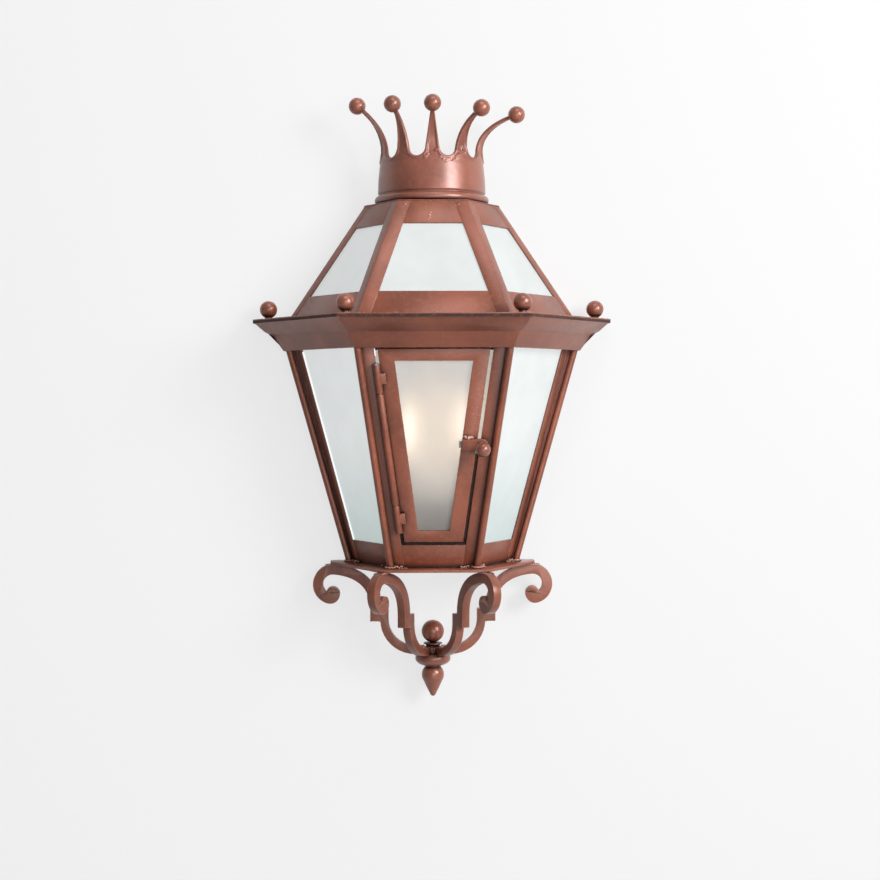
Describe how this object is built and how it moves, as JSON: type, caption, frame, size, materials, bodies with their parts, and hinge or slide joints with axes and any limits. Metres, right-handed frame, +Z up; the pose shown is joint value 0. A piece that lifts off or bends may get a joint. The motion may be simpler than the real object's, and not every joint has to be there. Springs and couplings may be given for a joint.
{
  "type": "outdoor lantern",
  "caption": "Half-hexagonal wall lantern with a glazed hinged door, frosted panes, a hipped roof, a crown with balls, scroll brackets and a turned finial.",
  "frame": {"origin": "middle of the four wall holes, on the wall plane Y = 0", "axes": "+Z up, +X to the right of someone facing the lantern, +Y into the wall; the lantern stands in front of the wall, toward -Y"},
  "size_m": [0.428, 0.2103, 0.7096],
  "materials": {
    "rust_lacquer": "satin, textured",
    "frosted_glass": "satin frosted",
    "white_enamel": "gloss",
    "bare_steel": "zinc plated",
    "white_plastic": "gloss",
    "opal_bulb": "opal, lit warm",
    "grey_plastic": "matte",
    "black_rubber": "matte"
  },
  "bodies": {
    "lantern": {"back_panel": "white_enamel", "bottom_plate": "rust_lacquer", "post_left_rear": "rust_lacquer", "post_left_front": "rust_lacquer", "post_right_front": "rust_lacquer", "post_right_rear": "rust_lacquer", "rod_left_rear": "rust_lacquer", "rod_left_front": "rust_lacquer", "rod_right_front": "rust_lacquer", "rod_right_rear": "rust_lacquer", "apron_left": "rust_lacquer", "apron_front": "rust_lacquer", "apron_right": "rust_lacquer", "cornice_left": "rust_lacquer", "cornice_front": "rust_lacquer", "cornice_right": "rust_lacquer", "eaves_plate": "rust_lacquer", "eaves_ball_left_rear": "rust_lacquer", "eaves_ball_left_front": "rust_lacquer", "eaves_ball_right_front": "rust_lacquer", "eaves_ball_right_rear": "rust_lacquer", "hip_left_rear": "rust_lacquer", "hip_left_front": "rust_lacquer", "hip_right_front": "rust_lacquer", "hip_right_rear": "rust_lacquer", "roof_bottom_band": "rust_lacquer", "roof_top_band": "rust_lacquer", "roof_cap": "rust_lacquer", "crown": "rust_lacquer", "crown_balls": "rust_lacquer", "roof_glass_left": "frosted_glass", "roof_glass_front": "frosted_glass", "roof_glass_right": "frosted_glass", "side_glass_left": "frosted_glass", "side_glass_right": "frosted_glass", "bracket_left_rear": "rust_lacquer", "bracket_left_front": "rust_lacquer", "bracket_right_front": "rust_lacquer", "bracket_right_rear": "rust_lacquer", "finial_ball": "rust_lacquer", "finial_hub": "rust_lacquer", "finial_drop": "rust_lacquer", "hinge_tube": "rust_lacquer", "lamp_bracket": "bare_steel", "lamp_holder_left": "white_plastic", "lamp_holder_right": "white_plastic", "candle_sleeve_left": "white_plastic", "candle_sleeve_right": "white_plastic", "bulb_left": "opal_bulb", "bulb_right": "opal_bulb", "terminal_block": "grey_plastic", "cable_grommet": "black_rubber"},
    "door": {"door_frame": "rust_lacquer", "door_glass": "frosted_glass", "door_glass_clips": "bare_steel", "door_knuckles": "rust_lacquer", "hinge_pin": "bare_steel", "door_handle": "rust_lacquer", "door_knob": "rust_lacquer"}
  },
  "joints": [
    {"name": "door_hinge", "type": "hinge", "parent": "lantern", "child": "door", "pos_m": [-0.04628, -0.1338, -0.06235], "axis": [0.129, 0.2234, -0.9662], "range_deg": [0, 110]}
  ]
}
